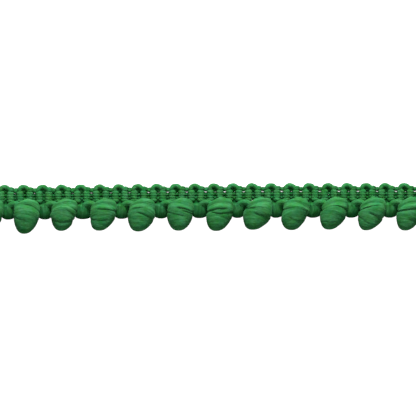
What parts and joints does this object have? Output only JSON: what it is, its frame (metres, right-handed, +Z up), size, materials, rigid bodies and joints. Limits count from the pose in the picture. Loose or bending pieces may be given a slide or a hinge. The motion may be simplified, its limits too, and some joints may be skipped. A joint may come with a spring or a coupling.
{
  "type": "pom pom trim",
  "caption": "Cut length of narrow knitted braid with a picot loop edge on one side and a row of small wound yarn pompoms on the other, lying flat on its back.",
  "frame": {"origin": "middle of the trim's flat back, on the surface that it lies on", "axes": "+X along the trim, +Y across it towards the picot loops, +Z up out of its face"},
  "size_m": [0.1312, 0.0129, 0.0057],
  "materials": {
    "heading_yarn": "soft twisted yarn, matt",
    "pompom_yarn": "fluffy untwisted roving, matt",
    "turn_yarn": "fluffy untwisted roving, matt"
  },
  "bodies": {
    "root": {"heading": "heading_yarn", "pompom_01": "pompom_yarn", "pompom_02": "pompom_yarn", "pompom_03": "pompom_yarn", "pompom_04": "pompom_yarn", "pompom_05": "pompom_yarn", "pompom_06": "pompom_yarn", "pompom_07": "pompom_yarn", "pompom_08": "pompom_yarn", "pompom_09": "pompom_yarn", "pompom_10": "pompom_yarn", "pompom_11": "pompom_yarn", "pompom_12": "pompom_yarn", "pompom_13": "pompom_yarn", "roving_turn_01": "turn_yarn", "roving_turn_02": "turn_yarn", "roving_turn_03": "turn_yarn", "roving_turn_04": "turn_yarn", "roving_turn_05": "turn_yarn", "roving_turn_06": "turn_yarn", "roving_turn_07": "turn_yarn", "roving_turn_08": "turn_yarn", "roving_turn_09": "turn_yarn", "roving_turn_10": "turn_yarn", "roving_turn_11": "turn_yarn", "roving_turn_12": "turn_yarn", "roving_turn_13": "turn_yarn", "roving_turn_14": "turn_yarn"}
  },
  "joints": []
}
